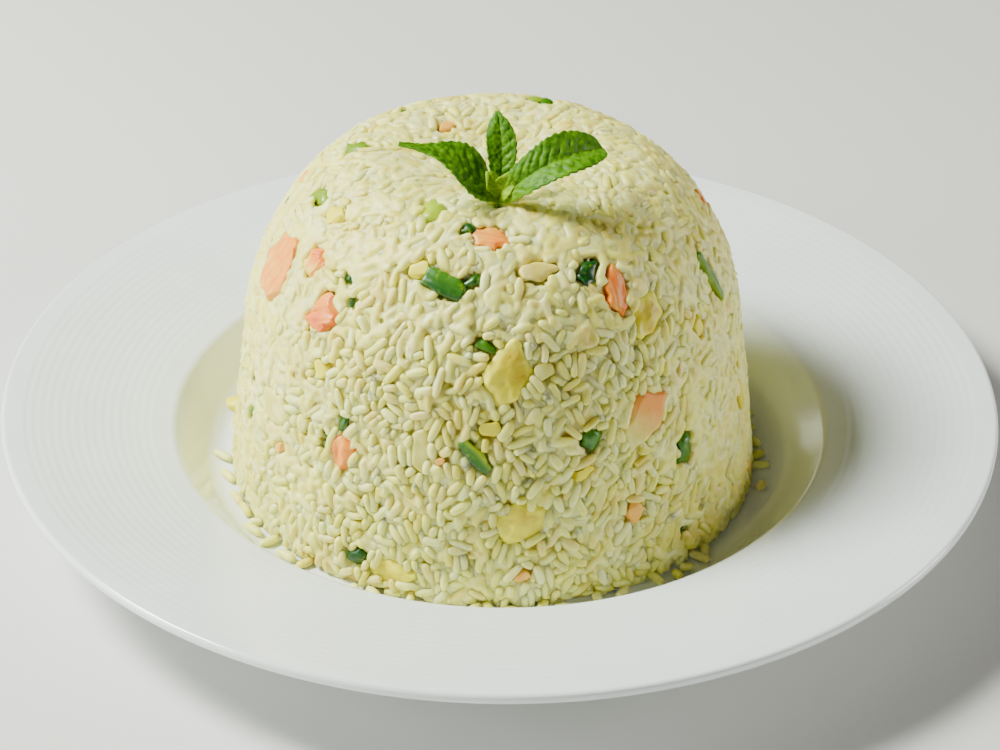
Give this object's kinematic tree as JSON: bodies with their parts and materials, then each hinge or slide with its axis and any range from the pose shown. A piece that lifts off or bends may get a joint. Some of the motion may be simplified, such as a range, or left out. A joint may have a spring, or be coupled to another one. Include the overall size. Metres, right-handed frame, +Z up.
{
  "type": "fried rice plate",
  "caption": "Tall moulded heap of pale fried rice with egg, ham, fish cake, spring onion and a mint sprig on a white wide-rimmed plate.",
  "frame": {"origin": "middle of the plate's foot, on the surface that it stands on", "axes": "+Z up, +X to the right as the dish is served, -Y towards the diner"},
  "size_m": [0.3, 0.3, 0.1342],
  "materials": {
    "porcelain": "glossy white glaze with fine rings pressed into the rim",
    "rice": "moist cooked long grains, lightly oiled",
    "egg": "soft scrambled egg, satin",
    "ham": "moist pink flesh, satin",
    "fish_cake": "smooth cream flesh, satin",
    "spring_onion": "wet green leaf",
    "mint": "fresh veined leaf, matte"
  },
  "bodies": {
    "root": {"plate": "porcelain", "rice_mound": "rice", "mint_sprig": "mint", "egg_front": "egg", "egg_low": "egg", "egg_right": "egg", "egg_foot": "egg", "egg_side": "egg", "egg_back": "egg", "ham_left": "ham", "ham_upper": "ham", "ham_shoulder": "ham", "ham_top": "ham", "ham_right": "ham", "ham_low": "ham", "ham_back": "ham", "cake_right": "fish_cake", "cake_left": "fish_cake", "cake_strip": "fish_cake", "cake_back": "fish_cake", "onion_top": "spring_onion", "onion_right": "spring_onion", "onion_front": "spring_onion", "onion_back": "spring_onion"}
  },
  "joints": []
}
